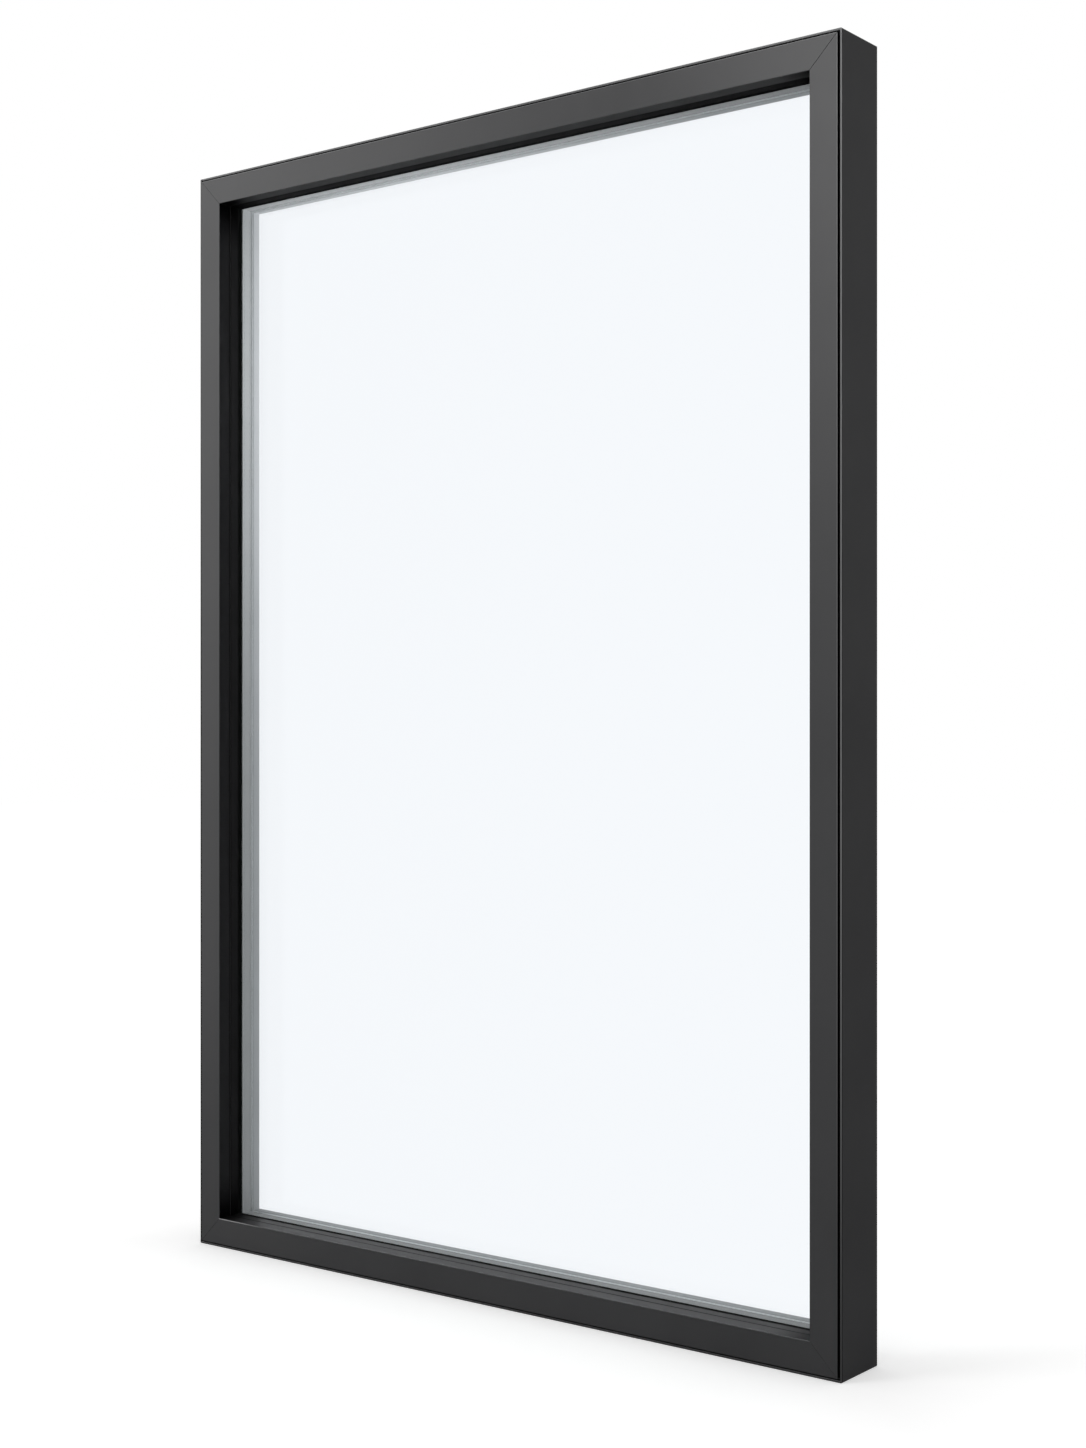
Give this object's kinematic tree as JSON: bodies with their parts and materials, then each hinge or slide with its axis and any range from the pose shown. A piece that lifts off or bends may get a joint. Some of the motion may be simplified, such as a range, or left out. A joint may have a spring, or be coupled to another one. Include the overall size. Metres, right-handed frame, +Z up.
{
  "type": "fixed picture window",
  "caption": "Fixed picture window: a dark mitred aluminium frame with a clip-on front cover holds a sealed double glass unit, closed at the back by grey glazing beads.",
  "frame": {"origin": "middle of the footprint, on the sill's underside", "axes": "+Z up, -Y out of the front face, +X to the right as seen from the front"},
  "size_m": [1.1, 0.088, 1.6],
  "materials": {
    "dark_frame": "satin",
    "grey_bead": "satin",
    "spacer_bar": "satin",
    "key_metal": "satin",
    "black_gasket": "matte",
    "grey_gasket": "matte",
    "sealant": "matte",
    "block_plastic": "matte",
    "clear_glass": "polished"
  },
  "bodies": {
    "root": {"frame_sill": "dark_frame", "frame_jamb_left": "dark_frame", "frame_head": "dark_frame", "frame_jamb_right": "dark_frame", "cover_sill": "dark_frame", "cover_jamb_left": "dark_frame", "cover_head": "dark_frame", "cover_jamb_right": "dark_frame", "gasket_front_sill": "black_gasket", "gasket_front_jamb_left": "black_gasket", "gasket_front_head": "black_gasket", "gasket_front_jamb_right": "black_gasket", "gasket_rear_sill": "grey_gasket", "gasket_rear_jamb_left": "grey_gasket", "gasket_rear_head": "grey_gasket", "gasket_rear_jamb_right": "grey_gasket", "bead_sill": "grey_bead", "bead_jamb_left": "grey_bead", "bead_head": "grey_bead", "bead_jamb_right": "grey_bead", "spacer_sill": "spacer_bar", "spacer_jamb_left": "spacer_bar", "spacer_head": "spacer_bar", "spacer_jamb_right": "spacer_bar", "edge_seal_sill": "sealant", "edge_seal_jamb_left": "sealant", "edge_seal_head": "sealant", "edge_seal_jamb_right": "sealant", "glass_pane_front": "clear_glass", "glass_pane_rear": "clear_glass", "setting_block_left": "block_plastic", "setting_block_right": "block_plastic", "corner_key_bottom_left": "key_metal", "corner_key_bottom_right": "key_metal", "corner_key_top_left": "key_metal", "corner_key_top_right": "key_metal"}
  },
  "joints": []
}
